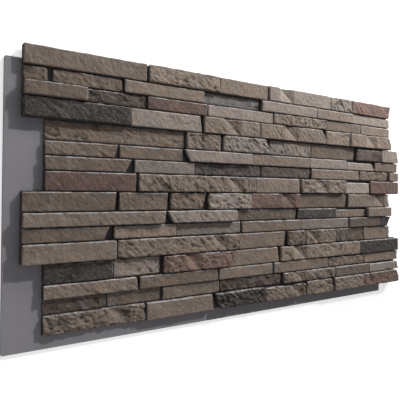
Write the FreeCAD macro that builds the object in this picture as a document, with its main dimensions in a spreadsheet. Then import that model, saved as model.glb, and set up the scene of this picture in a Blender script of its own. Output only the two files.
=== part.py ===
import FreeCAD, Part

import math
import os
from collections import namedtuple

# Faux stone wall panel, moulded as one piece. It lies on its back: +X runs along the courses,
# +Y is up on the wall and +Z comes out of the wall. The layout is measured from the lower left
# corner of the stonework, and the finished panel is moved so that its origin is the middle of
# the back of its outline.
Vector = FreeCAD.Vector

SIZES = (
    ("cover_length", 1215.0, "wall length that one panel covers"),
    ("deep_course", 41.75, "height of the first and last course of each band"),
    ("thin_course", 30.0, "height of the two courses between them"),
    ("joint_width", 2.0, "joint between neighbouring stones"),
    ("end_stagger", 45.0, "how far every second band is shifted to the right"),
    ("flange_left", 33.0, "backing that shows left of the stonework"),
    ("flange_bottom", 29.0, "backing that shows below the stonework"),
    ("flange_thickness", 8.0, "thickness of the backing plate"),
    ("flange_corner", 3.0, "radius of the corners of the backing plate"),
    ("lap_clearance", 1.0, "side clearance between the backings of two panels"),
    ("lap_gap", 1.0, "room over the next panel's backing for adhesive"),
    ("bed_rise", 5.0, "floor of the joints, over the backing"),
    ("bed_setback", 1.5, "how far the stones stand out past the bed at its edges"),
    ("rise_sunk", 9.0, "stone face over the backing, most recessed"),
    ("rise_low", 14.0, "stone face over the backing, recessed"),
    ("rise_even", 19.0, "stone face over the backing, usual"),
    ("rise_proud", 24.0, "stone face over the backing, projecting"),
    ("rise_ledge", 29.0, "stone face over the backing, most projecting"),
    ("face_lean", 1.2, "fall of a face from one end of its stone to the other"),
    ("split_drop", 5.0, "depth of the fall in the face where a stone is split"),
    ("split_run", 26.0, "length of the sloping break of a split stone"),
    ("side_draft", 4.0, "draft of the stones' sides, in degrees"),
    ("fine_arris", 2.2, "rounding of the ends and the lower edge of a smooth stone"),
    ("upper_arris", 4.5, "rounding of the upper edge of a smooth stone"),
    ("worn_arris", 4.0, "rounding of the edges of a rough stone"),
    ("turned_corner", 14.0, "radius in plan of a stone's turned corner"),
)

Stone = namedtuple("Stone", "length level form split gap slant turned short")


def stone(length, level, form="smooth", split=None, gap=0.0, slant=0.0, turned="", short=0.0):
    """Describe one stone of a course.

    length is from its left joint to the next one, split the distance from its left end to its
    sloping break, gap the extra width of the joint after it, slant how far its right end leans
    to the right at the top, and short how much lower its upper edge lies than the course's.
    turned names its rounded corner: L for the lower left one, R for the upper right one.
    """
    return Stone(length, level, form, split, gap, slant, turned, short)


# The courses from the top of the panel down, each from left to right. Four courses make a band.
COURSES = (
    (stone(281, "even"), stone(208, "proud", "rough"), stone(169, "even"),
     stone(251, "proud", split=44), stone(103, "proud", "rough"),
     stone(202, "proud", "rough", slant=10)),
    (stone(59, "low", "rough", gap=7), stone(163, "low", "rough", slant=-4), stone(220, "even"),
     stone(190, "sunk", "rough"), stone(216, "proud"), stone(172, "proud"), stone(197, "even")),
    (stone(134, "ledge"), stone(147, "low", "rough"), stone(171, "even"), stone(223, "even"),
     stone(219, "proud", "rough"), stone(165, "even"), stone(159, "even")),
    (stone(238, "proud", "rough"), stone(200, "even", gap=2, slant=-7),
     stone(189, "proud", split=70), stone(265, "proud", split=95, turned="R"),
     stone(110, "proud"), stone(212, "ledge", split=80, turned="R")),
    (stone(344, "sunk", "rough"), stone(110, "even", "rough", gap=3),
     stone(167, "proud", split=60, turned="R"), stone(167, "low", "rough"),
     stone(202, "low", gap=2, slant=3), stone(131, "proud", "rough", short=4),
     stone(92, "proud", slant=-8)),
    (stone(167, "low", gap=2, slant=8), stone(170, "low"), stone(217, "proud", turned="L"),
     stone(225, "even"), stone(167, "even"), stone(142, "even", gap=2, slant=-12, short=5),
     stone(125, "even")),
    (stone(203, "even", gap=5, slant=16), stone(166, "even"), stone(221, "low", "rough"),
     stone(197, "low", "rough", slant=6), stone(221, "even", slant=-5),
     stone(156, "even", "rough", gap=3), stone(49, "proud")),
    (stone(211, "even", gap=2), stone(356, "proud", "rough", split=264),
     stone(172, "even", gap=2), stone(202, "proud", "rough", split=70),
     stone(120, "even", gap=3, short=6), stone(152, "proud")),
    (stone(210, "even", gap=4, slant=6), stone(134, "even", gap=5, slant=3),
     stone(110, "even", "rough", gap=3, slant=12), stone(143, "proud", "rough"),
     stone(190, "even", split=118), stone(211, "low", "rough", gap=2, slant=6),
     stone(215, "even", split=140, slant=-8)),
    (stone(332, "ledge", gap=2, slant=5), stone(213, "ledge", turned="L"),
     stone(230, "low", slant=6), stone(166, "even"), stone(147, "low", short=5),
     stone(125, "ledge")),
    (stone(198, "proud", gap=9, slant=16), stone(166, "even", "rough"), stone(201, "low"),
     stone(222, "even"), stone(214, "even", gap=2), stone(157, "proud"),
     stone(55, "proud", slant=18)),
    (stone(206, "ledge", gap=3), stone(350, "proud", "rough", split=264),
     stone(176, "even", gap=6, slant=5), stone(71, "proud", "rough"),
     stone(135, "proud", split=12), stone(136, "even", "rough"), stone(139, "even")),
    (stone(154, "even", "rough"), stone(126, "low", "rough", gap=4),
     stone(210, "proud", "rough", split=64), stone(169, "even", gap=3, slant=-5),
     stone(352, "proud", split=56), stone(202, "proud")),
    (stone(219, "even", "rough", gap=2, slant=-5), stone(226, "even", gap=2),
     stone(191, "even", gap=4), stone(223, "even"), stone(173, "even", "rough", short=2),
     stone(181, "even")),
    (stone(142, "sunk", "rough"), stone(139, "sunk", gap=2), stone(170, "low"),
     stone(220, "low", "rough", slant=6), stone(219, "proud", split=40), stone(163, "proud"),
     stone(160, "proud", slant=-8, short=3)),
    (stone(238, "low", "rough", split=150), stone(196, "even", gap=3, slant=-5),
     stone(167, "proud", "rough", turned="L"), stone(163, "proud", split=100, gap=5, short=4),
     stone(118, "proud", "rough", gap=2, slant=-8), stone(143, "ledge", "rough"),
     stone(188, "ledge", "rough", turned="R")),
)
COURSES_IN_BAND = 4
SHORTEST_STONE = 40.0

# Shares of face_lean that successive stones of a course fall by, negative where they rise.
LEANS = (-1.0, 0.5, 1.0, -0.5)
# Angles over the horizontal of the flats that round an upper edge.
EDGE_FLATS = (30, 60)
# Angles from one end of a turned corner to the corners of its short sides.
TURN_STEPS = (0, 30, 60)
# Cutting bodies reach this much past what they cut, in millimetres.
OVERSHOOT = 10.0

doc = FreeCAD.newDocument("wall_panel")
sheet = doc.addObject("Spreadsheet::Sheet", "Sizes")
for line, (alias, value, meaning) in enumerate(SIZES, start=1):
    sheet.set(f"A{line}", meaning)
    sheet.set(f"B{line}", str(value))
    sheet.setAlias(f"B{line}", alias)
doc.recompute()
BANDS = len(COURSES) // COURSES_IN_BAND

# Sizes that follow from the driving ones, as expressions on the sheet.
BAND_PITCH = "(2 * Sizes.deep_course + 2 * Sizes.thin_course + 4 * Sizes.joint_width)"
COVER_HEIGHT = f"({BANDS} * {BAND_PITCH})"
STONE_LENGTH = "(Sizes.cover_length - Sizes.joint_width)"
STONE_HEIGHT = f"({COVER_HEIGHT} - Sizes.joint_width)"
FLANGE_RIGHT = "(Sizes.cover_length - Sizes.flange_left - Sizes.lap_clearance)"
FLANGE_TOP = f"({COVER_HEIGHT} - Sizes.flange_bottom - Sizes.lap_clearance)"
RABBET_DEPTH = "(Sizes.flange_thickness + Sizes.lap_gap)"


def size(alias):
    """Read one driving size from the sheet."""
    return float(getattr(sheet, alias))


def bound_box(label, corner, lengths):
    """Add a box whose lower corner and lengths are expressions on the sheet."""
    box = doc.addObject("Part::Box", label)
    box.Label = label
    for axis, place in zip("xyz", corner):
        box.setExpression(f".Placement.Base.{axis}", place)
    for name, length in zip(("Length", "Width", "Height"), lengths):
        box.setExpression(name, length)
    return box


def trimmed(solid, point, normal):
    """Cut away what lies beyond a plane."""
    reach = 2.0 * solid.BoundBox.DiagonalLength + OVERSHOOT
    beyond = Part.makeBox(2 * reach, 2 * reach, reach, Vector(-reach, -reach, 0))
    beyond.Placement = FreeCAD.Placement(point, FreeCAD.Rotation(Vector(0, 0, 1), normal))
    return solid.cut(beyond)


def rounded(solid, edge_point, outward, radius):
    """Round the top edge of one side with two flats."""
    up = Vector(0, 0, 1)
    centre = edge_point - outward * radius - up * radius
    for angle in map(math.radians, EDGE_FLATS):
        normal = outward * math.cos(angle) + up * math.sin(angle)
        solid = trimmed(solid, centre + normal * radius, normal)
    return solid


def block(sides, foot, top, fall, end_run=0.0):
    """Make one drafted block with a leaning face and rounded top edges.

    sides are pairs of a plan corner and the rounding of the side that starts there, counter-
    clockwise from the lower left. fall is the drop of the face from its left to its right end,
    and end_run how far the last side, the left end, slopes back as a split face.
    """
    corners = [corner for corner, _ in sides]
    ring = Part.makePolygon([*corners, corners[0]])
    headroom = abs(fall) + OVERSHOOT
    solid = Part.Face(ring).extrude(Vector(0, 0, top - foot + headroom))
    solid.translate(Vector(0, 0, foot))
    extent = ring.BoundBox
    centre = Vector(extent.Center.x, extent.Center.y, top)
    slope = fall / extent.XLength
    solid = trimmed(solid, centre, Vector(slope, 0, 1).normalize())
    draft_foot = size("flange_thickness") + size("lap_gap")
    lean = math.tan(math.radians(size("side_draft"))) * (top - draft_foot)
    for index, (start, radius) in enumerate(sides):
        end = corners[(index + 1) % len(corners)]
        along = (end - start).normalize()
        outward = Vector(along.y, -along.x, 0)
        breaks = end_run > 0 and index == len(sides) - 1
        run = end_run if breaks else lean
        middle = (start + end) * 0.5
        side_foot = Vector(middle.x, middle.y, draft_foot)
        side_top = side_foot - outward * run
        side_top.z = top - (side_top.x - centre.x) * slope
        if breaks:
            side_foot.z = top - size("split_drop")
        rise = size("split_drop") if breaks else side_top.z - draft_foot
        side_normal = (outward * rise + Vector(0, 0, 1) * run).normalize()
        solid = trimmed(solid, side_foot, side_normal)
        if radius > 0:
            solid = rounded(solid, side_top, outward, radius)
    return solid


def turned_sides(centre, start_angle, radius, arris):
    """Give the short sides that round a corner in plan, counter-clockwise."""
    angles = [math.radians(start_angle + step) for step in TURN_STEPS]
    return [(centre + Vector(math.cos(angle), math.sin(angle), 0) * radius, arris)
            for angle in angles]


def stone_solid(item, left, right, low, high, index):
    """Make one stone; a split one falls towards its sloping break from both sides."""
    foot = size("flange_thickness") / 2
    top = size("flange_thickness") + size("rise_" + item.level)
    arris = size("worn_arris") if item.form == "rough" else size("fine_arris")
    upper_arris = max(arris, size("upper_arris"))
    high -= item.short
    fall = size("face_lean") * LEANS[index % len(LEANS)]
    turn = size("turned_corner")
    lower, upper = right - max(item.slant, 0.0), right + min(item.slant, 0.0)
    low_left, high_left = Vector(left, low, 0), Vector(left, high, 0)
    right_sides = [(Vector(lower, low, 0), arris), (Vector(upper, high, 0), upper_arris)]
    if "R" in item.turned:
        corner = turned_sides(Vector(upper - turn, high - turn, 0), 0, turn, arris)
        right_sides = [right_sides[0], *corner, (Vector(upper - turn, high, 0), upper_arris)]
    if item.split is None:
        start = [(low_left, arris)]
        if "L" in item.turned:
            corner = turned_sides(Vector(left + turn, low + turn, 0), 180, turn, arris)
            return block([(Vector(left + turn, low, 0), arris), *right_sides,
                          (high_left, arris), *corner], foot, top, fall)
        return block([*start, *right_sides, (high_left, arris)], foot, top, fall)
    break_foot = left + item.split * (right - left) / item.length
    break_end = break_foot + size("split_run")
    near = [(low_left, arris), (Vector(break_end, low, 0), 0.0),
            (Vector(break_end, high, 0), upper_arris), (high_left, arris)]
    far = [(Vector(break_foot, low, 0), arris), *right_sides, (Vector(break_foot, high, 0), 0.0)]
    drop = size("split_drop")
    first = block(near, foot, top - drop / 2, drop)
    second = block(far, foot, top, 0.0, size("split_run"))
    return first.fuse(second)


def course_solids(course, left, length, low, high):
    """Lay the stones of one course; the last one fills what is left of its length."""
    solids = []
    place, index = left, 0
    end = left + length
    joint = size("joint_width")
    while place < end - SHORTEST_STONE:
        item = course[index % len(course)]
        right = place + item.length - joint - item.gap
        if end - (place + item.length) < SHORTEST_STONE:
            right = end
        solids.append(stone_solid(item, place, right, low, high, index))
        place += item.length
        index += 1
        if right == end:
            break
    return solids


doc.recompute()
joint = size("joint_width")
heights = (size("deep_course"), size("thin_course"), size("thin_course"), size("deep_course"))
stone_length = size("cover_length") - joint

courses = []
low = 0.0
for number in range(len(COURSES) - 1, -1, -1):
    band = number // COURSES_IN_BAND
    high = low + heights[number % COURSES_IN_BAND]
    shift = size("end_stagger") if band % 2 else 0.0
    laid = course_solids(COURSES[number], shift, stone_length, low, high)
    row = doc.addObject("Part::Feature", f"course_{number + 1}")
    row.Label = f"course_{number + 1}"
    row.Shape = Part.makeCompound(laid)
    courses.append(row)
    low = high + joint

backing = bound_box(
    "backing_plate", ("-Sizes.flange_left", "-Sizes.flange_bottom", "0"),
    (f"{FLANGE_RIGHT} + Sizes.flange_left", f"{FLANGE_TOP} + Sizes.flange_bottom",
     "Sizes.flange_thickness"))
doc.recompute()
corner_rounding = doc.addObject("Part::Fillet", "backing")
corner_rounding.Base = backing
upright = [number for number, edge in enumerate(backing.Shape.Edges, start=1)
           if abs(edge.tangentAt(edge.FirstParameter).z) > 0.99]
corner = size("flange_corner")
corner_rounding.Edges = [(number, corner, corner) for number in upright]

beds = []
for band in range(BANDS):
    shift = "Sizes.end_stagger" if band % 2 == 0 else "0"
    floor = f"{band} * {BAND_PITCH}"
    base = "Sizes.bed_setback" if band == 0 else "0"
    cap = "Sizes.bed_setback + Sizes.joint_width" if band == BANDS - 1 else "0"
    beds.append(bound_box(
        f"bed_{band + 1}",
        (f"{shift} + Sizes.bed_setback", f"{floor} + {base}", "Sizes.flange_thickness / 2"),
        (f"{STONE_LENGTH} - 2 * Sizes.bed_setback", f"{BAND_PITCH} - ({base}) - ({cap})",
         "Sizes.flange_thickness / 2 + Sizes.bed_rise")))

casting = doc.addObject("Part::MultiFuse", "casting")
casting.Shapes = [corner_rounding, *beds, *courses]

side_rabbet = bound_box(
    "side_rabbet", (FLANGE_RIGHT, "-Sizes.flange_bottom", "-1"),
    ("Sizes.flange_left + Sizes.end_stagger + 50", f"{COVER_HEIGHT} + Sizes.flange_bottom",
     f"{RABBET_DEPTH} + 1"))
top_rabbet = bound_box(
    "top_rabbet", ("-Sizes.flange_left", FLANGE_TOP, "-1"),
    ("Sizes.cover_length + Sizes.flange_left + Sizes.end_stagger", "Sizes.flange_bottom + 50",
     f"{RABBET_DEPTH} + 1"))
rabbets = doc.addObject("Part::MultiFuse", "rabbets")
rabbets.Shapes = [side_rabbet, top_rabbet]

panel = doc.addObject("Part::Cut", "wall_panel")
panel.Label = "wall_panel"
panel.Base = casting
panel.Tool = rabbets
panel.setExpression(
    ".Placement.Base.x",
    f"(Sizes.flange_left - {STONE_LENGTH} - Sizes.end_stagger) / 2")
panel.setExpression(".Placement.Base.y", f"(Sizes.flange_bottom - {STONE_HEIGHT}) / 2")
doc.recompute()

for item in doc.Objects:
    if "Invalid" in item.State or "Error" in item.State:
        raise RuntimeError(f"{item.Label} failed: {item.State}")
for item in [corner_rounding, *beds, *courses, casting, panel]:
    if item.Shape.isNull() or not item.Shape.isValid():
        raise RuntimeError(f"{item.Label} has no valid shape")
if len(panel.Shape.Solids) != 1:
    raise RuntimeError(f"the casting is {len(panel.Shape.Solids)} solids, not one")

os.makedirs("parts", exist_ok=True)
panel.Shape.exportStep("parts/wall_panel.step")
box = panel.Shape.BoundBox
print(f"wall_panel: {box.XLength:.1f} x {box.YLength:.1f} x {box.ZLength:.1f} mm, "
      f"{panel.Shape.Volume / 1e6:.2f} litres, {len(panel.Shape.Faces)} faces")
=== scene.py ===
"""Faux stone wall panel: the looks of one moulded casting of ledge stones on a backing flange.

The panel lies on its back, so +X runs along the courses, +Y is up on the wall and +Z comes out
of the wall. Sizes in the stone pattern are millimetres, as a maker would write them down, and the
meshes are metres.
"""

import logging
import math
from dataclasses import dataclass
from enum import Enum

import bmesh
import bpy
from mathutils import Matrix, Vector, noise

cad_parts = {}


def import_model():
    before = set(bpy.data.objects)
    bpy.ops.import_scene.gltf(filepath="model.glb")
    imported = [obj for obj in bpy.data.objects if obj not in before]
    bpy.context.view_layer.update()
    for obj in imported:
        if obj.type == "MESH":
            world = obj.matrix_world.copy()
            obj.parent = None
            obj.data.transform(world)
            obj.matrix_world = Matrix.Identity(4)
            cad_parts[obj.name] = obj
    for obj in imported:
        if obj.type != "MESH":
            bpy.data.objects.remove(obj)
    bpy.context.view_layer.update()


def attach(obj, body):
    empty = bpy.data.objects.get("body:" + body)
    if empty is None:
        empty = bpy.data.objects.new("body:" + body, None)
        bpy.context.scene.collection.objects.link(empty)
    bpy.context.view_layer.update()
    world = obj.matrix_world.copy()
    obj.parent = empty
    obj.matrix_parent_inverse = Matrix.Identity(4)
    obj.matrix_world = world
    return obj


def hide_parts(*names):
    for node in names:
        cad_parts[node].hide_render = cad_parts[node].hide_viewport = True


LOG = logging.getLogger("wall_panel")
MM = 0.001
NODE = "wall_panel"
RELIEF_SEED = 7

Pair = tuple[float, float]
Point = tuple[float, float, float]
Colour = tuple[float, float, float, float]
Mesh = bmesh.types.BMesh
Socket = bpy.types.NodeSocket


class Rise(Enum):
    """How far a stone's face stands over the backing, in millimetres."""

    SUNK = 9.0
    LOW = 14.0
    EVEN = 19.0
    PROUD = 24.0
    LEDGE = 29.0


class Face(Enum):
    """How a stone's face was broken."""

    SMOOTH = "smooth"
    ROUGH = "rough"

class Side(Enum):
    """The sides of a stone's face. Each one's value seeds its wear."""

    LOWER = 1.0
    UPPER = 2.0
    LEFT = 3.0
    RIGHT = 4.0

class Tint(Enum):
    """The colour that a stone is painted."""

    TAN = "tan"
    LIGHT = "light_tan"
    GREY = "grey_tan"
    BROWN = "grey_brown"
    OLIVE = "olive_tan"
    RED = "reddish_brown"
    DARK = "dark_brown"
    CHAR = "charcoal"
    SLATE = "slate_grey"


@dataclass(frozen=True)
class Stone:
    """One stone of a course.

    length runs from its left joint to the next one. split is how far from its left end a sloping
    break starts on its upper edge, gap the extra width of the joint after it, and slant how far
    its right end leans to the right at the top, or to the left where it is negative. turned names
    its rounded corner: L for the lower left one, R for the upper right one. short is how much
    lower its upper edge lies than the course's. tone lightens or darkens its tint, and carve
    deepens its relief.
    """

    length: float
    rise: Rise
    tint: Tint
    face: Face = Face.SMOOTH
    tone: float = 1.0
    split: float | None = None
    gap: float = 0.0
    slant: float = 0.0
    turned: str = ""
    short: float = 0.0
    carve: float = 1.0


SUNK, LOW, EVEN, PROUD, LEDGE = Rise
SMOOTH, ROUGH = Face
TAN, LIGHT, GREY, BROWN, OLIVE, RED, DARK, CHAR, SLATE = Tint

# The courses from the top of the panel down, each from left to right. Four make a band.
COURSES = (
    (Stone(281, EVEN, TAN, tone=0.85, gap=2), Stone(208, PROUD, TAN, ROUGH, 1.14, carve=0.8),
     Stone(169, EVEN, TAN), Stone(251, PROUD, LIGHT, split=44),
     Stone(103, PROUD, GREY, ROUGH, 1.12), Stone(202, PROUD, RED, slant=10, carve=1.7)),
    (Stone(59, LOW, BROWN, ROUGH, gap=7, carve=0.7),
     Stone(163, LOW, BROWN, ROUGH, 0.95, slant=-4, carve=0.7),
     Stone(220, EVEN, TAN), Stone(190, SUNK, SLATE, ROUGH, 1.3, carve=0.6),
     Stone(216, PROUD, LIGHT), Stone(172, PROUD, TAN, tone=1.06), Stone(197, EVEN, LIGHT)),
    (Stone(134, LEDGE, BROWN, tone=0.94), Stone(147, LOW, DARK, ROUGH, 0.97),
     Stone(171, EVEN, RED, tone=0.79), Stone(223, EVEN, LIGHT), Stone(219, PROUD, TAN, ROUGH, 1.05),
     Stone(165, EVEN, BROWN), Stone(159, EVEN, TAN)),
    (Stone(238, PROUD, CHAR, ROUGH, 0.96, carve=0.7), Stone(200, EVEN, LIGHT, gap=2, slant=-7),
     Stone(189, PROUD, TAN, split=70, gap=2, carve=1.6),
     Stone(265, PROUD, TAN, tone=1.05, split=95, gap=3, turned="R", carve=1.8),
     Stone(110, PROUD, TAN, tone=1.12, gap=2, carve=2.0),
     Stone(212, LEDGE, TAN, tone=1.08, split=80, turned="R", carve=1.3)),
    (Stone(344, SUNK, BROWN, ROUGH, 1.14, carve=0.7), Stone(110, EVEN, TAN, ROUGH, gap=3),
     Stone(167, PROUD, GREY, ROUGH, 1.15, gap=3, turned="R"), Stone(167, LOW, GREY, ROUGH, 1.1),
     Stone(202, LOW, BROWN, tone=0.92, gap=2, slant=3),
     Stone(131, PROUD, DARK, ROUGH, 1.07, short=4, carve=0.7), Stone(92, PROUD, LIGHT, slant=-8)),
    (Stone(167, LOW, BROWN, tone=1.06, gap=2, slant=8, carve=1.7), Stone(170, LOW, BROWN),
     Stone(217, PROUD, LIGHT, turned="L"), Stone(225, EVEN, TAN), Stone(167, EVEN, LIGHT),
     Stone(142, EVEN, LIGHT, tone=1.08, gap=2, slant=-12, short=5), Stone(125, EVEN, BROWN)),
    (Stone(203, EVEN, BROWN, gap=5, slant=16), Stone(166, EVEN, GREY),
     Stone(221, LOW, CHAR, ROUGH, 1.46, carve=0.6), Stone(197, LOW, DARK, ROUGH, slant=6, carve=0.5),
     Stone(221, EVEN, TAN, tone=1.06, slant=-5),
     Stone(156, EVEN, BROWN, ROUGH, 1.05, gap=3, carve=0.6), Stone(49, PROUD, TAN)),
    (Stone(211, EVEN, RED, tone=0.76, gap=2), Stone(356, PROUD, TAN, ROUGH, split=264),
     Stone(172, EVEN, TAN, tone=1.05, gap=2),
     Stone(202, PROUD, TAN, ROUGH, 1.08, split=70), Stone(120, EVEN, LIGHT, tone=1.27, gap=3, short=6),
     Stone(152, PROUD, RED, tone=0.86)),
    (Stone(210, EVEN, BROWN, tone=0.87, gap=4, slant=6),
     Stone(134, EVEN, BROWN, gap=5, slant=3, carve=1.6),
     Stone(110, EVEN, BROWN, ROUGH, 1.1, gap=3, slant=12, carve=1.2),
     Stone(143, PROUD, LIGHT, ROUGH, 1.08, carve=1.1),
     Stone(190, EVEN, RED, tone=0.96, split=118, carve=1.6),
     Stone(211, LOW, BROWN, tone=0.88, gap=2, slant=6),
     Stone(215, EVEN, TAN, split=140, slant=-8, carve=1.4)),
    (Stone(332, LEDGE, TAN, gap=2, slant=5, carve=1.3),
     Stone(213, LEDGE, LIGHT, ROUGH, 1.08, turned="L", carve=0.6),
     Stone(230, LOW, BROWN, tone=0.79, slant=6, carve=1.3), Stone(166, EVEN, CHAR),
     Stone(147, LOW, TAN, short=5, carve=1.3), Stone(125, LEDGE, TAN)),
    (Stone(198, PROUD, BROWN, tone=0.92, gap=9, slant=16), Stone(166, EVEN, TAN, ROUGH, 1.32, carve=0.5),
     Stone(201, LOW, GREY, tone=1.1, carve=1.3), Stone(222, EVEN, TAN, tone=0.88),
     Stone(214, EVEN, GREY, gap=2), Stone(157, PROUD, BROWN, tone=0.71),
     Stone(55, PROUD, CHAR, tone=0.6, slant=18)),
    (Stone(206, LEDGE, TAN, gap=3), Stone(350, PROUD, TAN, ROUGH, split=264),
     Stone(176, EVEN, TAN, tone=0.95, gap=6, slant=5),
     Stone(71, PROUD, BROWN, ROUGH, 1.05), Stone(135, PROUD, TAN, ROUGH, split=12),
     Stone(136, EVEN, BROWN, ROUGH, 0.75, carve=0.8), Stone(139, EVEN, TAN, tone=0.95, carve=1.6)),
    (Stone(154, EVEN, CHAR, ROUGH, carve=0.5), Stone(126, LOW, GREY, ROUGH, 1.24, gap=4, carve=0.7),
     Stone(210, PROUD, RED, ROUGH, 1.24, split=64),
     Stone(169, EVEN, OLIVE, tone=1.06, gap=3, slant=-5),
     Stone(352, PROUD, TAN, ROUGH, 1.19, split=56, carve=0.7),
     Stone(202, PROUD, CHAR, tone=0.76)),
    (Stone(219, EVEN, TAN, gap=2, slant=-5, carve=1.8), Stone(226, EVEN, BROWN, gap=2),
     Stone(191, EVEN, TAN, gap=4), Stone(223, EVEN, TAN),
     Stone(173, EVEN, TAN, ROUGH, short=2), Stone(181, EVEN, TAN, carve=1.4)),
    (Stone(142, SUNK, DARK, ROUGH, 1.06, carve=0.9), Stone(139, SUNK, BROWN, gap=2),
     Stone(170, LOW, OLIVE, tone=0.87, carve=1.3),
     Stone(220, LOW, DARK, ROUGH, 1.1, slant=6), Stone(219, PROUD, TAN, ROUGH, 0.93, split=40),
     Stone(163, PROUD, BROWN, tone=0.89, carve=1.4),
     Stone(160, PROUD, LIGHT, slant=-8, short=3, carve=1.3)),
    (Stone(238, LOW, TAN, ROUGH, 0.88, split=150, carve=1.7), Stone(196, EVEN, TAN, gap=3, slant=-5),
     Stone(167, PROUD, CHAR, ROUGH, 1.04, turned="L", carve=1.7),
     Stone(163, PROUD, TAN, ROUGH, 0.93, split=100, gap=5, short=4, carve=1.2),
     Stone(118, PROUD, TAN, ROUGH, 1.06, gap=2, slant=-8),
     Stone(143, LEDGE, TAN, ROUGH, 1.06),
     Stone(188, LEDGE, RED, ROUGH, 1.07, turned="R")),
)
COURSES_IN_BAND = 4


def srgb(red: int, green: int, blue: int) -> Colour:
    """Turn a colour written in 0 to 255 into the linear one that a shader takes.

    Args:
        red, green, blue: The colour as it looks on screen.

    Returns:
        The linear colour with an alpha of one.
    """
    def linear(level: int) -> float:
        """Turn one channel."""
        share = level / 255.0
        return share / 12.92 if share <= 0.04045 else ((share + 0.055) / 1.055) ** 2.4

    return (linear(red), linear(green), linear(blue), 1.0)


@dataclass(frozen=True)
class PanelSizes:
    """The driving sizes of the panel, in millimetres."""

    cover_length: float = 1215.0
    deep_course: float = 41.75
    thin_course: float = 30.0
    joint: float = 2.0
    stagger: float = 45.0
    flange_left: float = 33.0
    flange_bottom: float = 29.0
    flange_thickness: float = 8.0
    flange_corner: float = 3.0
    lap_clearance: float = 1.0
    lap_gap: float = 1.0
    bed_rise: float = 5.0
    bed_setback: float = 1.5
    highest_lean: float = 0.58

    @property
    def course_heights(self) -> tuple[float, ...]:
        """Give the heights of a band's courses, from its top down."""
        return (self.deep_course, self.thin_course, self.thin_course, self.deep_course)

    @property
    def band_pitch(self) -> float:
        """Give the height from one band to the next."""
        return sum(self.course_heights) + COURSES_IN_BAND * self.joint

    @property
    def bands(self) -> int:
        """Count the bands."""
        return len(COURSES) // COURSES_IN_BAND

    @property
    def stone_height(self) -> float:
        """Give the height of the stonework."""
        return self.bands * self.band_pitch - self.joint

    @property
    def stone_length(self) -> float:
        """Give the length of one band."""
        return self.cover_length - self.joint

    @property
    def flange_right(self) -> float:
        """Give where the backing ends at the right, under the stones."""
        return self.cover_length - self.flange_left - self.lap_clearance

    @property
    def flange_top(self) -> float:
        """Give where the backing ends at the top, under the stones."""
        return self.bands * self.band_pitch - self.flange_bottom - self.lap_clearance

    @property
    def thickness(self) -> float:
        """Give the height of the highest face over the back."""
        return self.flange_thickness + Rise.LEDGE.value + self.highest_lean

    @property
    def underside(self) -> float:
        """Give the height of the overhangs' underside over the back."""
        return self.flange_thickness + self.lap_gap

    @property
    def origin(self) -> Vector:
        """Give the row's origin in the pattern: the middle of the outline, at the back."""
        right = self.stone_length + self.stagger
        return Vector(((right - self.flange_left) / 2, (self.stone_height - self.flange_bottom) / 2, 0))

    def shift(self, band: int) -> float:
        """Give how far a band is shifted to the right; band 0 is the top one."""
        return self.stagger if band % 2 else 0.0

    def placed(self, point: Vector) -> Vector:
        """Take a point of the pattern to the row's frame, in metres."""
        return (point - self.origin) * MM


@dataclass(frozen=True)
class Cloud:
    """A noise of the paint: its features to the metre, its layers and how rough they are."""

    scale: float
    detail: float
    rough: float = 0.5


@dataclass(frozen=True)
class StoneFinish:
    """The paint of one kind of stone: a body colour, a second colour in patches, and its grain."""

    name: str
    body: Colour
    patch: Colour
    contrast: float = 0.14
    fleck: float = 0.15
    grain_depth: float = 0.0009
    roughness: float = 0.82
    patches: Cloud = Cloud(26.0, 4.0)
    patch_edge: Pair = (0.42, 0.62)
    mottle: Cloud = Cloud(120.0, 5.0, 0.62)
    speckle: Cloud = Cloud(230.0, 5.0, 0.7)
    speckle_height: float = 0.3
    scratch: Cloud = Cloud(190.0, 3.0, 0.6)
    scratch_angle: float = -40.0
    scratch_stretch: Pair = (0.25, 1.0)
    scratch_edge: Pair = (0.56, 0.74)
    scratch_strength: float = 0.3
    # Noise that breaks up the painted highlight along the rims.
    highlight_breakup: Cloud = Cloud(65.0, 3.0, 0.6)
    highlight_breakup_edge: Pair = (0.4, 0.58)
    least_highlight: float = 0.12

    def material(self) -> bpy.types.Material:
        """Build the shader.

        Returns:
            A material that reads Object coordinates and the attributes of tone, painted shade and
            painted highlight.
        """
        maker = ShaderMaker(self.name)
        place = maker.object_coordinate()
        patches = maker.spread(maker.noise(place, self.patches), 0.0, 1.0, *self.patch_edge)
        mottle = maker.noise(place, self.mottle)
        speckle = maker.noise(place, self.speckle)
        shade = maker.add(
            maker.spread(mottle, 1.0 - self.contrast, 1.0 + self.contrast),
            maker.spread(speckle, -self.fleck, self.fleck))
        shade = maker.times(shade, maker.attribute("tone"))
        colour = maker.scaled(maker.mix(patches, self.body, self.patch), shade)
        streaks = maker.laid(place, self.scratch_angle, self.scratch_stretch)
        scratches = maker.spread(maker.noise(streaks, self.scratch), 0.0, self.scratch_strength,
                                 *self.scratch_edge)
        colour = maker.mix(scratches, colour, WEAR_AND_HIGHLIGHT)
        # Painted highlight: the edge attribute lightens lit rims and upper sides, broken up by noise.
        highlight_breakup = maker.spread(maker.noise(place, self.highlight_breakup), self.least_highlight, 1.0,
                                *self.highlight_breakup_edge)
        colour = maker.mix(maker.times(maker.attribute("edge"), highlight_breakup), colour, WEAR_AND_HIGHLIGHT)
        # Painted shade: darkens the sides, the hollows and the lower and left edges, away from the
        # light.
        colour = maker.mix(maker.attribute("painted_shade"), colour, PAINTED_SHADE_COLOUR)
        height = maker.add(maker.spread(mottle, 0.0, 1.0 - self.speckle_height),
                           maker.spread(speckle, 0.0, self.speckle_height))
        return maker.finished(colour, height, self.grain_depth, self.roughness)


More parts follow.
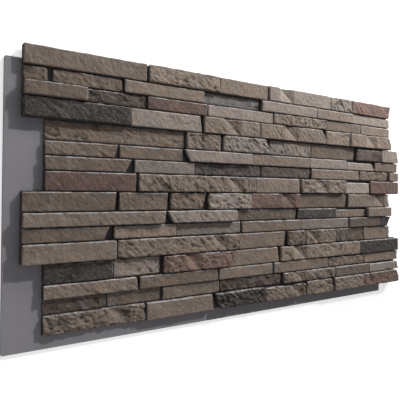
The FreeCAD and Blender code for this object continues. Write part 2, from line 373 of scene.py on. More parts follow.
class ShaderMaker:
    """A small workbench for node materials, so that each finish reads as a recipe."""

    # A Mix node's colour sockets, which share their names with its other sockets.
    COLOUR_A = 6
    COLOUR_B = 7
    COLOUR_RESULT = 2

    def __init__(self, name: str) -> None:
        """Open an empty material.

        Args:
            name: The material's name.
        """
        self.material = bpy.data.materials.new(name)
        self.material.use_nodes = True
        self.tree = self.material.node_tree
        self.tree.nodes.clear()

    def node(self, kind: str) -> bpy.types.Node:
        """Add one node."""
        return self.tree.nodes.new(kind)

    def put(self, socket: Socket, value: object) -> None:
        """Link an output to a socket, or set the socket's own value.

        Args:
            socket: The input.
            value: An output socket, a number or a colour.
        """
        if isinstance(value, Socket):
            self.tree.links.new(value, socket)
        else:
            socket.default_value = value

    def object_coordinate(self) -> Socket:
        """Give the Object coordinate."""
        return self.node("ShaderNodeTexCoord").outputs["Object"]

    def laid(self, coordinate: Socket, angle: float,
             stretch: Pair) -> Socket:
        """Turn the coordinate and stretch it, for streaks.

        Args:
            coordinate: The coordinate.
            angle: The streaks' direction in degrees.
            stretch: How dense the pattern is along and across the streaks.

        Returns:
            The coordinate to look the pattern up with.
        """
        turned = self.node("ShaderNodeMapping")
        turned.vector_type = "POINT"
        self.put(turned.inputs["Vector"], coordinate)
        turned.inputs["Rotation"].default_value = (0.0, 0.0, math.radians(-angle))
        stretched = self.node("ShaderNodeVectorMath")
        stretched.operation = "MULTIPLY"
        self.put(stretched.inputs[0], turned.outputs["Vector"])
        self.put(stretched.inputs[1], (*stretch, 1.0))
        return stretched.outputs[0]

    def attribute(self, name: str) -> Socket:
        """Give a mesh attribute as a number."""
        reader = self.node("ShaderNodeAttribute")
        reader.attribute_name = name
        return reader.outputs["Fac"]

    def noise(self, coordinate: Socket, cloud: Cloud) -> Socket:
        """Give fractal noise."""
        texture = self.node("ShaderNodeTexNoise")
        self.put(texture.inputs["Vector"], coordinate)
        self.put(texture.inputs["Scale"], cloud.scale)
        self.put(texture.inputs["Detail"], cloud.detail)
        self.put(texture.inputs["Roughness"], cloud.rough)
        return texture.outputs["Fac"]

    def spread(self, value: Socket, lowest: float, highest: float,
               low: float = 0.3, high: float = 0.7) -> Socket:
        """Stretch a number that runs from low to high, so that it runs from lowest to highest."""
        rule = self.node("ShaderNodeMapRange")
        for name, number in (("From Min", low), ("From Max", high), ("To Min", lowest),
                             ("To Max", highest)):
            rule.inputs[name].default_value = number
        self.put(rule.inputs["Value"], value)
        return rule.outputs["Result"]

    def combine(self, operation: str, first: object, second: object) -> Socket:
        """Join two numbers by a Math node."""
        join = self.node("ShaderNodeMath")
        join.operation = operation
        self.put(join.inputs[0], first)
        self.put(join.inputs[1], second)
        return join.outputs[0]

    def add(self, first: object, second: object) -> Socket:
        """Add two numbers."""
        return self.combine("ADD", first, second)

    def times(self, first: object, second: object) -> Socket:
        """Multiply two numbers."""
        return self.combine("MULTIPLY", first, second)

    def mix(self, share: object, first: object, second: object) -> Socket:
        """Mix two colours by a share."""
        blend = self.node("ShaderNodeMix")
        blend.data_type = "RGBA"
        self.put(blend.inputs[0], share)
        self.put(blend.inputs[self.COLOUR_A], first)
        self.put(blend.inputs[self.COLOUR_B], second)
        return blend.outputs[self.COLOUR_RESULT]

    def scaled(self, colour: Socket, factor: object) -> Socket:
        """Multiply a colour by a number."""
        product = self.node("ShaderNodeVectorMath")
        product.operation = "SCALE"
        self.put(product.inputs[0], colour)
        self.put(product.inputs["Scale"], factor)
        return product.outputs[0]

    def finished(self, colour: Socket, height: Socket, depth: float,
                 roughness: float, sheen: float = 0.25) -> bpy.types.Material:
        """Close the shader.

        Args:
            colour: The surface colour.
            height: The height of its grain, about 0 to 1.
            depth: The depth of that grain in metres.
            roughness: How matt the surface is.
            sheen: How strongly it reflects.

        Returns:
            The finished material.
        """
        bump = self.node("ShaderNodeBump")
        bump.inputs["Strength"].default_value = 1.0
        bump.inputs["Distance"].default_value = depth
        self.put(bump.inputs["Height"], height)
        shader = self.node("ShaderNodeBsdfPrincipled")
        self.put(shader.inputs["Base Color"], colour)
        shader.inputs["Roughness"].default_value = roughness
        shader.inputs["Specular IOR Level"].default_value = sheen
        self.put(shader.inputs["Normal"], bump.outputs["Normal"])
        output = self.node("ShaderNodeOutputMaterial")
        self.put(output.inputs["Surface"], shader.outputs["BSDF"])
        return self.material


# The first colour paints scratches, which are wear, and the painted highlight on lit rims and upper
# sides; the second paints shade in joints, hollows and on sides away from the light.
WEAR_AND_HIGHLIGHT = srgb(176, 175, 176)
PAINTED_SHADE_COLOUR = srgb(34, 31, 29)

FINISHES = {
    TAN: StoneFinish("tan_stone", srgb(131, 117, 105), srgb(122, 109, 99)),
    LIGHT: StoneFinish("light_tan_stone", srgb(145, 133, 123), srgb(137, 126, 119)),
    GREY: StoneFinish("grey_tan_stone", srgb(130, 119, 110), srgb(119, 110, 105)),
    BROWN: StoneFinish("grey_brown_stone", srgb(117, 103, 91), srgb(107, 95, 86)),
    OLIVE: StoneFinish("olive_tan_stone", srgb(129, 115, 101), srgb(119, 107, 96)),
    RED: StoneFinish("reddish_brown_stone", srgb(118, 95, 86), srgb(104, 86, 80)),
    DARK: StoneFinish("dark_brown_stone", srgb(92, 81, 74), srgb(80, 68, 63),
                      contrast=0.22, fleck=0.32),
    CHAR: StoneFinish("charcoal_stone", srgb(74, 67, 64), srgb(65, 58, 55),
                      contrast=0.26, fleck=0.6),
    SLATE: StoneFinish("slate_grey_stone", srgb(108, 104, 103), srgb(93, 88, 86),
                       contrast=0.18, fleck=0.24),
}


@dataclass(frozen=True)
class FlangeFinish:
    """The grey of the bare casting behind the stones."""

    name: str = "grey_backing"
    body: Colour = srgb(143, 141, 145)
    patch: Colour = srgb(136, 132, 138)
    patches: Cloud = Cloud(9.0, 3.0)
    lumps: Cloud = Cloud(60.0, 4.0)
    lump_depth: float = 0.0006
    roughness: float = 0.7

    def material(self) -> bpy.types.Material:
        """Build the shader of the flange, the joints' floor and the back, with painted shade on the
        joints' floor and the flange's sides.
        """
        maker = ShaderMaker(self.name)
        place = maker.object_coordinate()
        colour = maker.mix(maker.noise(place, self.patches), self.body, self.patch)
        # Painted shade: darkens the joints' floor and the flange's sides.
        colour = maker.mix(maker.attribute("painted_shade"), colour, PAINTED_SHADE_COLOUR)
        lumps = maker.noise(place, self.lumps)
        return maker.finished(colour, lumps, self.lump_depth, self.roughness)


@dataclass(frozen=True)
class Crevices:
    """A net of sharp crevices. waves counts its cells to the millimetre, down and over."""

    waves: Pair
    narrow: float
    depth: float


@dataclass(frozen=True)
class Breakage:
    """How one kind of face is broken and its edges are worn, in millimetres.

    swing is how many degrees the streaks turn from stone to stone. Each of the lumps' layers is
    lump_step times finer than the one before.
    """

    swing: float
    chip_length: float
    chip_depth: float
    crevices: tuple[Crevices, ...]
    lump_waves: Pair
    lump_fade: float
    lump_step: float
    lump_height: float
    wear: float
    corner: float
    end_arris: float
    lower_arris: float
    lump_layers: int = 4
    scallop_length: float = 19.0
    scallop_depth: float = 0.0


BREAKAGES = {
    SMOOTH: Breakage(
        swing=12.0, chip_length=60.0, chip_depth=1.3,
        crevices=(Crevices((0.010, 0.045), 9.0, 0.45),),
        lump_waves=(0.07, 0.13), lump_fade=0.6, lump_step=2.2, lump_height=0.7,
        wear=1.2, corner=2.0, end_arris=2.2, lower_arris=3.0),
    ROUGH: Breakage(
        swing=18.0, chip_length=32.0, chip_depth=3.12,
        crevices=(Crevices((0.022, 0.06), 5.0, 1.5), Crevices((0.06, 0.13), 3.5, 0.525)),
        lump_waves=(0.10, 0.13), lump_fade=0.45, lump_step=2.1, lump_height=1.5,
        wear=2.3, corner=5.0, end_arris=4.2, lower_arris=4.2, scallop_depth=2.2),
}


@dataclass
class Relief:
    """The broken surface of one stone's face, in millimetres.

    Waves are counted to the millimetre, and the seeds keep the patterns apart.
    """

    seed: float
    breakage: Breakage
    carve: float
    streak_angle: float = -35.0
    swell: float = 1.0
    swell_waves: Pair = (0.02, 0.03)
    grain: float = 0.3
    grain_waves: Pair = (0.12, 0.4)
    cell_aspect: float = 0.8
    cell_seed: float = 1.7
    warp: float = 0.25
    warp_waves: float = 1.3
    scallop_level: float = 0.3
    chip_start: float = 90.0
    chip_seed: float = 5.3
    chip_lean: float = 1.6
    chip_step: float = 0.35
    crevice_seed: float = 2.9

    def __post_init__(self) -> None:
        """Lay the stone's streaks at their own angle."""
        angle = math.radians(self.streak_angle + self.breakage.swing * math.sin(self.seed))
        self.turn = (math.cos(angle), math.sin(angle))

    def place(self, first: float, second: float, waves: Pair) -> Vector:
        """Give the place at which a noise of these waves is looked up."""
        return Vector((first * waves[0], second * waves[1], self.seed))

    def height(self, along: float, across: float) -> float:
        """Give the height of the relief over the face's plane.

        Args:
            along: Place along the course.
            across: Place across the course.

        Returns:
            The height, which is negative in hollows.
        """
        cosine, sine = self.turn
        down = along * cosine + across * sine
        over = across * cosine - along * sine
        broken = self.breakage
        height = noise.noise(self.place(along, across, self.swell_waves)) * self.swell
        height += noise.noise(self.place(down, over, self.grain_waves)) * self.grain
        if broken.scallop_depth > 0:
            height += self.scallops(down, over)
        height += self.chips(down, over)
        for crevices in broken.crevices:
            height += self.cracks(down, over, crevices)
        lumps = noise.fractal(self.place(down, over, broken.lump_waves), broken.lump_fade,
                              broken.lump_step, broken.lump_layers)
        return (height + lumps * broken.lump_height) * self.carve

    def cracks(self, down: float, over: float, net: Crevices) -> float:
        """Give crevices where a noise changes sign: 0 between them, less than 0 in them."""
        place = Vector((down * net.waves[0], over * net.waves[1], self.seed * self.crevice_seed))
        return (min(abs(noise.noise(place)) * net.narrow, 1.0) - 1.0) * net.depth

    def cell(self, down: float, over: float, length: float) -> tuple[Vector, Vector, float]:
        """Find the chip or scallop that a place belongs to.

        Args:
            down: Place along the streaks.
            over: Place across the streaks.
            length: Length of a chip.

        Returns:
            The place counted in chips, the chip's own place and the distance between them.
        """
        width = length * self.cell_aspect
        place = Vector((down / length, over / width, self.seed * self.cell_seed))
        place += noise.noise_vector(place * self.warp_waves) * self.warp
        distances, nearest = noise.voronoi(place)
        return place, nearest[0], distances[0]

    def scallops(self, down: float, over: float) -> float:
        """Give hollow scallops with sharp ridges between them."""
        away = self.cell(down, over, self.breakage.scallop_length)[2]
        return (min(away, 1.0) ** 2 - self.scallop_level) * self.breakage.scallop_depth

    def chips(self, down: float, over: float) -> float:
        """Give flat chips that lean each its own way."""
        place, nearest, _ = self.cell(down + self.chip_start, over, self.breakage.chip_length)
        lean = noise.noise_vector(nearest * self.chip_seed)
        offset = place - nearest
        tilt = lean.x * offset.x * self.chip_lean + lean.y * offset.y * self.chip_lean
        return (tilt + lean.z * self.chip_step) * self.breakage.chip_depth


@dataclass
class StoneBlock:
    """One stone, from its place in the pattern to its closed mesh.

    index is its place in its course and number its place among all stones. The upper side and
    the rims carry painted highlight, and the other sides and the hollows painted shade.
    """

    stone: Stone
    sizes: PanelSizes
    left: float
    right: float
    low: float
    high: float
    on_flange: bool
    index: int
    number: int
    relief_seed: float = 7.31
    grid: float = 1.7
    fewest_faces: int = 4
    rings: int = 3
    edge_crowding: float = 0.075
    end_crowding: float = 0.05
    face_lean: float = 1.2
    lean_pattern: tuple[float, ...] = (-1.0, 0.5, 1.0, -0.5)
    least_rise: float = 1.5
    split_drop: float = 10.0
    split_foot: float = 0.15
    split_slope: float = 46.0
    split_far_least: float = 4.0
    split_near: float = 50.0
    split_near_foot: float = 1.15
    split_near_least: float = 8.0
    # Painted shade on a split's far side and painted highlight on its near side.
    far_shade: float = 0.66
    far_shade_reach: float = 2.0
    near_shade: float = 1.1
    upper_arris: float = 3.4
    corner_width: float = 17.0
    corner_height: float = 34.0
    corner_curve: float = 1.6
    wear_waves: float = 0.05
    side_seed: float = 13.7
    wear_seed: float = 3.3
    wear_mean: float = 0.25
    wear_swing: float = 0.9
    nick: float = 0.3
    nick_waves: float = 3.1
    end_wear: float = 0.4
    foot_wear: float = 0.2
    foot_sink: float = 0.5
    foot_lift: float = 0.3
    clearance: float = 0.1
    upper_share: float = 0.999
    # Painted shade on the sides, in the hollows and on the lower and left edges; painted highlight on
    # the rims.
    upper_side_shade: float = 1.1
    side_shade: float = 2.4
    hollow_start: float = 1.4
    hollow_shade: float = 0.3
    arris_shade: float = 0.1
    rim: float = 1.9
    upper_rim: float = 1.6
    right_rim: float = 1.2
    left_rim: float = 0.8
    leaning_end: float = 5.0

    def __post_init__(self) -> None:
        """Seed the stone's own relief, and lower its upper edge if it is short."""
        self.breakage = BREAKAGES[self.stone.face]
        self.relief = Relief(self.number * self.relief_seed, self.breakage, self.stone.carve)
        self.high -= self.stone.short

    def end_place(self, across: float) -> float:
        """Give where the right end is at a height across the course."""
        share = (across - self.low) / (self.high - self.low)
        slant = self.stone.slant
        end = self.right - max(slant, 0.0) * (1 - share) + min(slant, 0.0) * share
        if "R" in self.stone.turned:
            end -= self.corner_cut(self.high - across)
        return end - self.plan_corner(across)

    def start_place(self, across: float) -> float:
        """Give where the left end is at a height across the course."""
        start = self.left + self.plan_corner(across)
        if "L" in self.stone.turned:
            start += self.corner_cut(across - self.low)
        return start

    def plan_corner(self, across: float) -> float:
        """Give how much an end draws in where it rounds into the upper and lower edges."""
        return rounding_fall(min(self.high - across, across - self.low), self.breakage.corner)

    def corner_cut(self, inside: float) -> float:
        """Give how much a turned corner takes off an end at a distance from the edge."""
        share = max(0.0, 1.0 - inside / self.corner_height)
        return self.corner_width * share ** self.corner_curve

    def ragged(self, run: float, side: Side) -> float:
        """Give how far a side is worn back at a place along it."""
        place = Vector((run * self.wear_waves, side.value * self.side_seed,
                        self.number * self.wear_seed))
        worn = (self.wear_mean + self.wear_swing * noise.noise(place)
                + self.nick * noise.noise(place * self.nick_waves))
        return max(0.0, self.breakage.wear * worn)

    def plan(self, along_share: float, across_share: float, worn: float) -> Pair:
        """Give the plan place of a point of the stone.

        Args:
            along_share: 0 at the left end and 1 at the right end.
            across_share: 0 at the low edge and 1 at the high edge.
            worn: How much of the edges' wear applies, 1 on the face and less down the sides.

        Returns:
            The place along and across the course.
        """
        across_share -= self.edge_crowding * math.sin(2 * math.pi * across_share)
        along_share -= self.end_crowding * math.sin(2 * math.pi * along_share)
        across = self.low + across_share * (self.high - self.low)
        along = self.left + along_share * (self.right - self.left)
        low = self.ragged(along, Side.LOWER) * worn
        high = self.ragged(along, Side.UPPER) * worn
        across = self.low + low + across_share * (self.high - self.low - low - high)
        start, end = self.start_place(across), self.end_place(across)
        near = (self.ragged(across, Side.LEFT) + self.end_wear) * worn
        far = (self.ragged(across, Side.RIGHT) + self.end_wear) * worn
        return start + near + along_share * (end - start - near - far), across

    def split_place(self, along: float, across: float) -> Pair:
        """Give how far a place is past the split, and its share of the stone's height."""
        share = (across - self.low) / (self.high - self.low)
        return along - self.left - self.stone.split - self.split_slope * (1.0 - share), share

    def face_plane(self, along: float, across: float) -> float:
        """Give the height of the face's plane over the back, with its lean and its split."""
        length = self.right - self.left
        fall = self.face_lean * self.lean_pattern[self.index % len(self.lean_pattern)]
        middle = (self.left + self.right) / 2
        plane = self.sizes.flange_thickness + self.stone.rise.value - (along - middle) * fall / length
        if self.stone.split is None:
            return plane
        past, share = self.split_place(along, across)
        drop = self.split_drop * (self.split_foot + (1.0 - self.split_foot) * share)
        near = min(self.split_near * (self.split_near_foot - share), self.stone.split)
        reach = max(near, self.split_near_least)
        if past > 0:
            reach = self.split_slope * share + self.split_far_least
        return plane - drop * max(0.0, 1.0 - abs(past) / reach)

    def shade(self, along: float, across: float) -> float:
        """Give the tone of a split's two sides: painted shade on the far one, which faces down and away
        from the light, and a painted highlight on the near one.
        """
        if self.stone.split is None:
            return 1.0
        past, share = self.split_place(along, across)
        if 0 < past < self.split_slope * share + self.far_shade_reach:
            return self.far_shade
        return self.near_shade if -self.split_near * (1.0 - share) < past <= 0 else 1.0

    def shape(self, vert: bmesh.types.BMVert, layers: tuple) -> None:
        """Move one vertex of the unit grid to its place and write its paint attributes.

        Args:
            vert: A vertex whose x and y run from -0.5 to 0.5 and whose z counts rings down.
            layers: The layers of tone, painted shade and painted highlight.
        """
        along_share, across_share = vert.co.x + 0.5, vert.co.y + 0.5
        depth = round(-vert.co.z) / self.rings
        worn = 1.0 - (1.0 - self.foot_wear) * depth
        along, across = self.plan(along_share, across_share, worn)
        upper_fall = rounding_fall(self.high - across, self.upper_arris)
        right_fall = rounding_fall(self.end_place(across) - along, self.breakage.end_arris)
        fall = rounding_fall(along - self.start_place(across), self.breakage.end_arris)
        fall += rounding_fall(across - self.low, self.breakage.lower_arris)
        relief = self.relief.height(along, across)
        height = self.face_plane(along, across) + relief
        height -= min(fall + upper_fall + right_fall, self.upper_arris)
        height = max(height, self.sizes.flange_thickness + self.sizes.bed_rise + self.least_rise)
        height += (self.foot(along) - height) * depth
        ceiling = self.sizes.thickness - self.clearance
        vert.co = self.sizes.placed(Vector((along, across, min(height, ceiling))))
        # Paint: the stone's own tone times a split's painted shade and highlight, then painted shade and
        # highlight on sides and face.
        tone, painted_shade, edge = layers
        vert[tone] = self.stone.tone * self.shade(along, across)
        if depth:
            vert[painted_shade], vert[edge] = self.side_paint(depth, across_share > self.upper_share)
        else:
            vert[painted_shade], vert[edge] = self.face_shade(relief, fall), self.rim_highlight(along, across)

    def side_paint(self, depth: float, upper: bool) -> Pair:
        """Give a side's painted shade, deeper towards the foot, and the upper side's painted highlight,
        which fades towards it; depth runs from 0 at the face to 1 at the foot.
        """
        if upper:
            return min(1.0, depth * self.upper_side_shade), 1.0 - depth
        return min(1.0, depth * self.side_shade), 0.0

    def face_shade(self, relief: float, fall: float) -> float:
        """Give the face's painted shade, which lies in its hollows and along its lower and left edges,
        away from the light.
        """
        hollow = max(0.0, -relief / self.stone.carve - self.hollow_start)
        return min(1.0, hollow * self.hollow_shade + fall * self.arris_shade)

    def rim_highlight(self, along: float, across: float) -> float:
        """Give the painted highlight of the face's upper and right rims, and the lighter paint of its
        left rim; an end that leans away into shade has none.
        """
        light = max(0.0, self.upper_rim - (self.high - across) / self.rim)
        if self.stone.slant < self.leaning_end:
            light += max(0.0, self.right_rim - (self.end_place(across) - along) / self.rim)
        light += max(0.0, self.left_rim - (along - self.start_place(across)) / self.rim)
        return min(1.0, light)

    def foot(self, along: float) -> float:
        """Give the height of the stone's foot over the back."""
        if self.on_flange and along < self.sizes.flange_right:
            return self.sizes.flange_thickness - self.foot_sink
        return self.sizes.underside + self.foot_lift

    def build(self, mesh: Mesh, layers: tuple, finish: int) -> None:
        """Add the stone to its band as a closed shell.

        Args:
            mesh: The band's mesh.
            layers: The layers of tone, painted shade and painted highlight.
            finish: The index of the stone's material.
        """
        along = max(self.fewest_faces, round((self.right - self.left) / self.grid))
        across = max(self.fewest_faces, round((self.high - self.low) / self.grid))
        verts = bmesh.ops.create_grid(mesh, x_segments=along, y_segments=across, size=0.5)["verts"]
        faces = {face for vert in verts for face in vert.link_faces}
        rim = list(dict.fromkeys(
            edge for vert in verts for edge in vert.link_edges if edge.is_boundary))
        for _ in range(self.rings):
            made = bmesh.ops.extrude_edge_only(mesh, edges=rim)["geom"]
            ring = [item for item in made if isinstance(item, bmesh.types.BMVert)]
            bmesh.ops.translate(mesh, verts=ring, vec=Vector((0, 0, -1)))
            rim = [item for item in made
                   if isinstance(item, bmesh.types.BMEdge) and item.is_boundary]
            faces.update(item for item in made if isinstance(item, bmesh.types.BMFace))
            verts.extend(ring)
        faces.update(bmesh.ops.edgeloop_fill(mesh, edges=rim)["faces"])
        for vert in verts:
            self.shape(vert, layers)
        for face in faces:
            face.material_index = finish
            face.smooth = True


def rounding_fall(inside: float, radius: float) -> float:
    """Give how far a rounded edge falls at a distance inside it.

    Args:
        inside: Distance from the edge.
        radius: Radius of the rounding.

    Returns:
        The fall, which is zero past the rounding.
    """
    if inside >= radius:
        return 0.0
    return radius - math.sqrt(max(0.0, radius ** 2 - (radius - inside) ** 2))


def in_scene(name: str, data: bpy.types.ID) -> bpy.types.Object:
    """Make an object of a mesh, a lamp or a camera, and link it to the scene."""
    made = bpy.data.objects.new(name, data)
    bpy.context.scene.collection.objects.link(made)
    return made


def mesh_object(name: str, mesh: Mesh) -> bpy.types.Object:
    """Turn a finished bmesh into an object, and free it."""
    data = bpy.data.meshes.new(name)
    mesh.to_mesh(data)
    mesh.free()
    return in_scene(name, data)


@dataclass
class StoneBands:
    """The four bands of stones, one piece each. laid counts the stones."""

    sizes: PanelSizes
    finishes: dict
    laid: int = 0

    def build(self) -> list[bpy.types.Object]:
        """Build and place every band.

        Returns:
            The bands, the top one first.
        """
        bands = []
        high = self.sizes.stone_height
        for band in range(self.sizes.bands):
            mesh = bmesh.new()
            layers = tuple(mesh.verts.layers.float.new(name) for name in ("tone", "painted_shade", "edge"))
            for row, height in enumerate(self.sizes.course_heights):
                course = COURSES[band * COURSES_IN_BAND + row]
                self.lay(mesh, layers, course, band, high - height, high)
                high -= height + self.sizes.joint
            bmesh.ops.recalc_face_normals(mesh, faces=mesh.faces)
            bands.append(self.piece(mesh, f"stone_band_{band + 1}"))
        return bands

    def lay(self, mesh: Mesh, layers: tuple, course: tuple[Stone, ...], band: int,
            low: float, high: float) -> None:
        """Lay the stones of one course; the last fills what is left.

        Args:
            mesh: The band's mesh.
            layers: The attributes of tone, painted shade and painted highlight.
            course: The stones from left to right.
            band: The band's number, 0 at the top.
            low, high: The course's lower and upper edge.
        """
        start = self.sizes.shift(band)
        end = start + self.sizes.stone_length
        order = list(FINISHES)
        place = start
        for index, stone in enumerate(course):
            right = place + stone.length - self.sizes.joint - stone.gap
            if stone is course[-1]:
                right = end
            on_flange = place == start or course is COURSES[-1]
            block = StoneBlock(stone, self.sizes, place, right, low, high, on_flange, index,
                               self.laid)
            block.build(mesh, layers, order.index(stone.tint))
            place += stone.length
            self.laid += 1

    def piece(self, mesh: Mesh, name: str) -> bpy.types.Object:
        """Turn a band's mesh into an object with every stone finish."""
        band = mesh_object(name, mesh)
        for tint in FINISHES:
            band.data.materials.append(self.finishes[tint])
        return band


@dataclass
class Backing:
    """The grey backing plate with its flange, and the bed that is the floor of the joints."""

    sizes: PanelSizes
    joint_floor_shade: float = 0.8
    side_shade: float = 0.75
    side_shares: Pair = (0.08, 0.92)
    seating: float = 1.0
    corner_segments: int = 4

    def build(self, finish: bpy.types.Material) -> bpy.types.Object:
        """Build the plate and the four beds as one piece.

        Args:
            finish: The grey of the casting.

        Returns:
            The piece.
        """
        sizes = self.sizes
        mesh = bmesh.new()
        painted_shade = mesh.verts.layers.float.new("painted_shade")
        self.slab(mesh, painted_shade, (-sizes.flange_left, sizes.flange_right),
                  (-sizes.flange_bottom, sizes.flange_top), (0.0, sizes.flange_thickness),
                  sizes.flange_corner, 0.0)
        for band in range(sizes.bands):
            high = sizes.stone_height + sizes.joint - band * sizes.band_pitch
            low = high - sizes.band_pitch
            left = sizes.shift(band) + sizes.bed_setback
            right = sizes.shift(band) + sizes.stone_length - sizes.bed_setback
            top = high - sizes.joint - sizes.bed_setback if band == 0 else high
            bottom = low + sizes.bed_setback if band == sizes.bands - 1 else low
            floor = sizes.flange_thickness + sizes.bed_rise
            # The beds, which are the joints' floor, carry painted shade.
            self.slab(mesh, painted_shade, (left, right), (bottom, top), (sizes.underside, floor), 0.0,
                      self.joint_floor_shade)
            self.slab(mesh, painted_shade, (left, sizes.flange_right), (bottom, min(top, sizes.flange_top)),
                      (sizes.flange_thickness - self.seating, sizes.underside + self.seating), 0.0,
                      self.joint_floor_shade)
        bmesh.ops.recalc_face_normals(mesh, faces=mesh.faces)
        backing = mesh_object("backing", mesh)
        backing.data.materials.append(finish)
        return backing

    def slab(self, mesh: Mesh, painted_shade_layer: object, along: Pair,
             across: Pair, depth: Pair, corner: float,
             painted_shade: float) -> None:
        """Add one closed slab.

        Args:
            mesh: The backing's mesh.
            painted_shade_layer: The attribute of painted shade.
            along, across, depth: Where the slab starts and ends, in the pattern.
            corner: Radius of its upright corners.
            painted_shade: How much painted shade it carries. A slab with rounded corners also has
                painted shade on its sides.
        """
        sizes = self.sizes
        lowest = sizes.placed(Vector((along[0], across[0], depth[0])))
        highest = sizes.placed(Vector((along[1], across[1], depth[1])))
        span = highest - lowest
        verts = bmesh.ops.create_cube(mesh, size=1.0)["verts"]
        bmesh.ops.scale(mesh, verts=verts, vec=span)
        bmesh.ops.translate(mesh, verts=verts, vec=(lowest + highest) / 2)
        for vert in verts:
            vert[painted_shade_layer] = painted_shade
        if corner > 0:
            edges = dict.fromkeys(edge for vert in verts for edge in vert.link_edges)
            upright = [edge for edge in edges
                       if abs((edge.verts[0].co - edge.verts[1].co).z) > span.z / 2]
            made = bmesh.ops.bevel(mesh, geom=upright, offset=corner * MM, offset_type="OFFSET",
                                   segments=self.corner_segments, profile=0.5, affect="EDGES",
                                   material=-1)
            for vert in made["verts"]:
                vert[painted_shade_layer] = painted_shade
            # Painted shade on the sides, between their top and bottom edges.
            for share in self.side_shares:
                shell = [*mesh.verts, *mesh.edges, *mesh.faces]
                cut = bmesh.ops.bisect_plane(mesh, geom=shell, plane_co=(0, 0, share * span.z),
                                             plane_no=(0, 0, 1))["geom_cut"]
                for vert in (item for item in cut if isinstance(item, bmesh.types.BMVert)):
                    vert[painted_shade_layer] = self.side_shade


@dataclass(frozen=True)
class Softbox:
    """A rectangular lamp aimed at a point, in metres and watts."""

    name: str
    place: Point
    aim: Point
    sides: Pair
    power: float


SOFTBOXES = (
    Softbox("top_light", (0.12, 0.78, 0.40), (0.12, 0.1, 0.0), (1.3, 0.25), 4.8),
    Softbox("corner_light", (0.74, 0.64, 0.34), (0.58, 0.35, 0.0), (0.35, 0.3), 2.8),
    Softbox("left_light", (-0.55, -0.30, 0.70), (-0.55, -0.3, 0.0), (0.4, 0.4), 0.4),
)


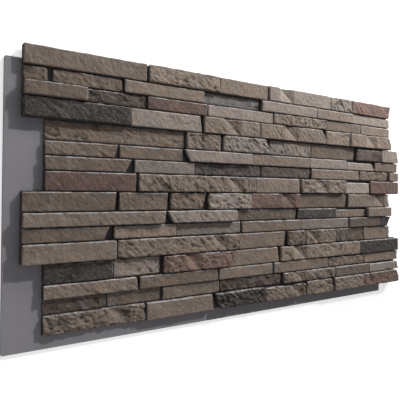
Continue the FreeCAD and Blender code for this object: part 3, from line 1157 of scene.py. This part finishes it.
@dataclass
class Studio:
    """The floor, the lamps and the camera, which stands where the photo was taken from."""

    camera_place: Point = (-0.8172, 0.0113, 0.9915)
    yaw: float = 33.26
    pitch: float = 0.89
    roll: float = 0.42
    lens: float = 41.13
    sensor: float = 36.0
    shift: float = -0.033
    nearest: float = 0.01
    farthest: float = 100.0
    ambient: float = 0.20
    sun_towards: Point = (-1.15, -1.3, -1.0)
    sun_strength: float = 1.78
    sun_spread: float = 3.0
    floor_reach: float = 12.0
    floor_shade: float = 0.8
    floor_glow: float = 0.6

    def camera(self) -> None:
        """Set the camera at the photo's viewing angle, its upright along the panel's +Y."""
        yaw, pitch, roll = (math.radians(angle) for angle in (self.yaw, self.pitch, self.roll))
        ahead = Vector((math.sin(yaw), 0.0, -math.cos(yaw)))
        right = Vector((math.cos(yaw), 0.0, math.sin(yaw)))
        up = Vector((0.0, 1.0, 0.0))
        ahead, up = (ahead * math.cos(pitch) + up * math.sin(pitch),
                     up * math.cos(pitch) - ahead * math.sin(pitch))
        right, up = (right * math.cos(roll) + up * math.sin(roll),
                     up * math.cos(roll) - right * math.sin(roll))
        data = bpy.data.cameras.new("photo_camera")
        data.lens = self.lens
        data.sensor_width = self.sensor
        data.shift_y = self.shift
        data.clip_start, data.clip_end = self.nearest, self.farthest
        camera = in_scene("photo_camera", data)
        turn = Matrix((right, up, -ahead)).transposed()
        camera.matrix_world = Matrix.Translation(self.camera_place) @ turn.to_4x4()
        bpy.context.scene.camera = camera

    def sun(self) -> None:
        """Add the sun lamp that shines from the upper right."""
        data = bpy.data.lights.new("key_light", "SUN")
        data.energy = self.sun_strength
        data.angle = math.radians(self.sun_spread)
        lamp = in_scene("key_light", data)
        lamp.rotation_euler = Vector(self.sun_towards).to_track_quat("-Z", "Y").to_euler()

    def lamp(self, softbox: Softbox) -> None:
        """Add a softbox."""
        data = bpy.data.lights.new(softbox.name, "AREA")
        data.shape = "RECTANGLE"
        data.size, data.size_y = softbox.sides
        data.energy = softbox.power
        lamp = in_scene(softbox.name, data)
        lamp.location = softbox.place
        direction = Vector(softbox.aim) - Vector(softbox.place)
        lamp.rotation_euler = direction.to_track_quat("-Z", "Y").to_euler()

    def world(self) -> None:
        """Light the scene evenly, and show plain white to the camera."""
        world = bpy.data.worlds.new("studio")
        world.use_nodes = True
        bpy.context.scene.world = world
        tree = world.node_tree
        background = tree.nodes["Background"]
        background.inputs["Color"].default_value = (1.0, 1.0, 1.0, 1.0)
        self.white_when_seen(tree, background.inputs["Strength"], self.ambient, 1.0)

    @staticmethod
    def white_when_seen(tree: bpy.types.NodeTree, socket: Socket, plain: float,
                        seen: float) -> None:
        """Drive a strength by whether the camera, or a mirror of it, looks at the surface.

        Args:
            tree: The material's or the world's nodes.
            socket: The strength.
            plain: Its value for the light that the surface throws.
            seen: Its value for the camera.
        """
        path = tree.nodes.new("ShaderNodeLightPath")
        looked_at = path.outputs["Is Camera Ray"]
        for ray in ("Is Glossy Ray", "Is Transmission Ray"):
            either = tree.nodes.new("ShaderNodeMath")
            either.operation = "MAXIMUM"
            tree.links.new(looked_at, either.inputs[0])
            tree.links.new(path.outputs[ray], either.inputs[1])
            looked_at = either.outputs[0]
        choose = tree.nodes.new("ShaderNodeMapRange")
        choose.inputs["To Min"].default_value = plain
        choose.inputs["To Max"].default_value = seen
        tree.links.new(looked_at, choose.inputs["Value"])
        tree.links.new(choose.outputs["Result"], socket)

    def floor(self) -> bpy.types.Object:
        """Lay the pale floor that the panel rests on.

        Returns:
            The floor.
        """
        mesh = bmesh.new()
        bmesh.ops.create_grid(mesh, x_segments=1, y_segments=1, size=self.floor_reach)
        floor = mesh_object("floor", mesh)
        material = bpy.data.materials.new("pale_floor")
        material.use_nodes = True
        tree = material.node_tree
        shader = tree.nodes["Principled BSDF"]
        shade = self.floor_shade
        shader.inputs["Base Color"].default_value = (shade, shade, shade, 1.0)
        shader.inputs["Roughness"].default_value = 1.0
        shader.inputs["Specular IOR Level"].default_value = 0.0
        shader.inputs["Emission Color"].default_value = (1.0, 1.0, 1.0, 1.0)
        self.white_when_seen(tree, shader.inputs["Emission Strength"], 0.0, self.floor_glow)
        floor.data.materials.append(material)
        return floor


def main() -> None:
    """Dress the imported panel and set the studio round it."""
    logging.basicConfig(level=logging.INFO, format="%(name)s: %(message)s")
    # Without a seed of its own, noise_vector takes one from the clock.
    noise.seed_set(RELIEF_SEED)
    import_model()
    sizes = PanelSizes()
    finishes = {tint: finish.material() for tint, finish in FINISHES.items()}
    pieces = [Backing(sizes).build(FlangeFinish().material())]
    pieces += StoneBands(sizes, finishes).build()
    for piece in pieces:
        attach(piece, "root")
        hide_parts(NODE)
        LOG.info("%s: %d faces", piece.name, len(piece.data.polygons))
    studio = Studio()
    studio.camera()
    studio.world()
    studio.sun()
    for softbox in SOFTBOXES:
        studio.lamp(softbox)
    studio.floor()
    scene = bpy.context.scene
    scene.view_settings.view_transform = "Standard"


if __name__ == "__main__":
    main()
